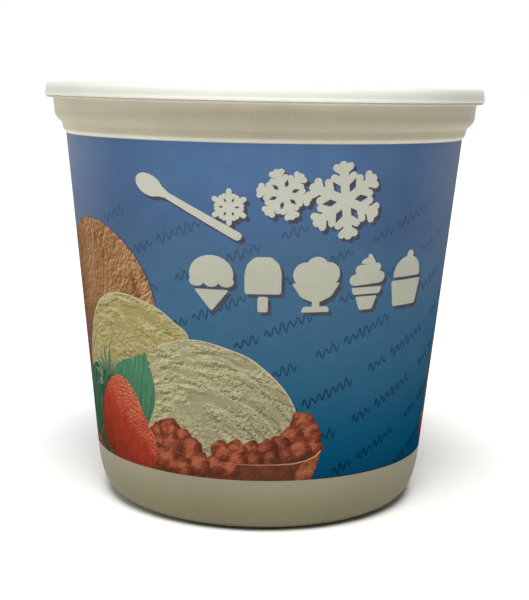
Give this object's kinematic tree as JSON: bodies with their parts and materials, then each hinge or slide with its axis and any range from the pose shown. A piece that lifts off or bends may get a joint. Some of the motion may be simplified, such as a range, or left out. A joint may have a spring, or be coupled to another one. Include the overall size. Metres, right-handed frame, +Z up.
{
  "type": "ice cream tub",
  "caption": "Closed round tapered plastic tub with a stepped collar, rounded foot, press-fit lid and a blue printed wrap showing scoops, berries and leaves.",
  "frame": {"origin": "centre of the foot ring, on the surface the tub stands on", "axes": "+Z up along the axis of the tub; the middle of the print faces -Y"},
  "size_m": [0.2, 0.2, 0.1889],
  "materials": {
    "tub_plastic": "satin warm ivory polypropylene, slightly translucent",
    "lid_plastic": "satin white polypropylene",
    "label_print": "in-mould film, satin blue print"
  },
  "bodies": {
    "root": {"tub": "tub_plastic", "lid": "lid_plastic", "label": "label_print"}
  },
  "joints": []
}
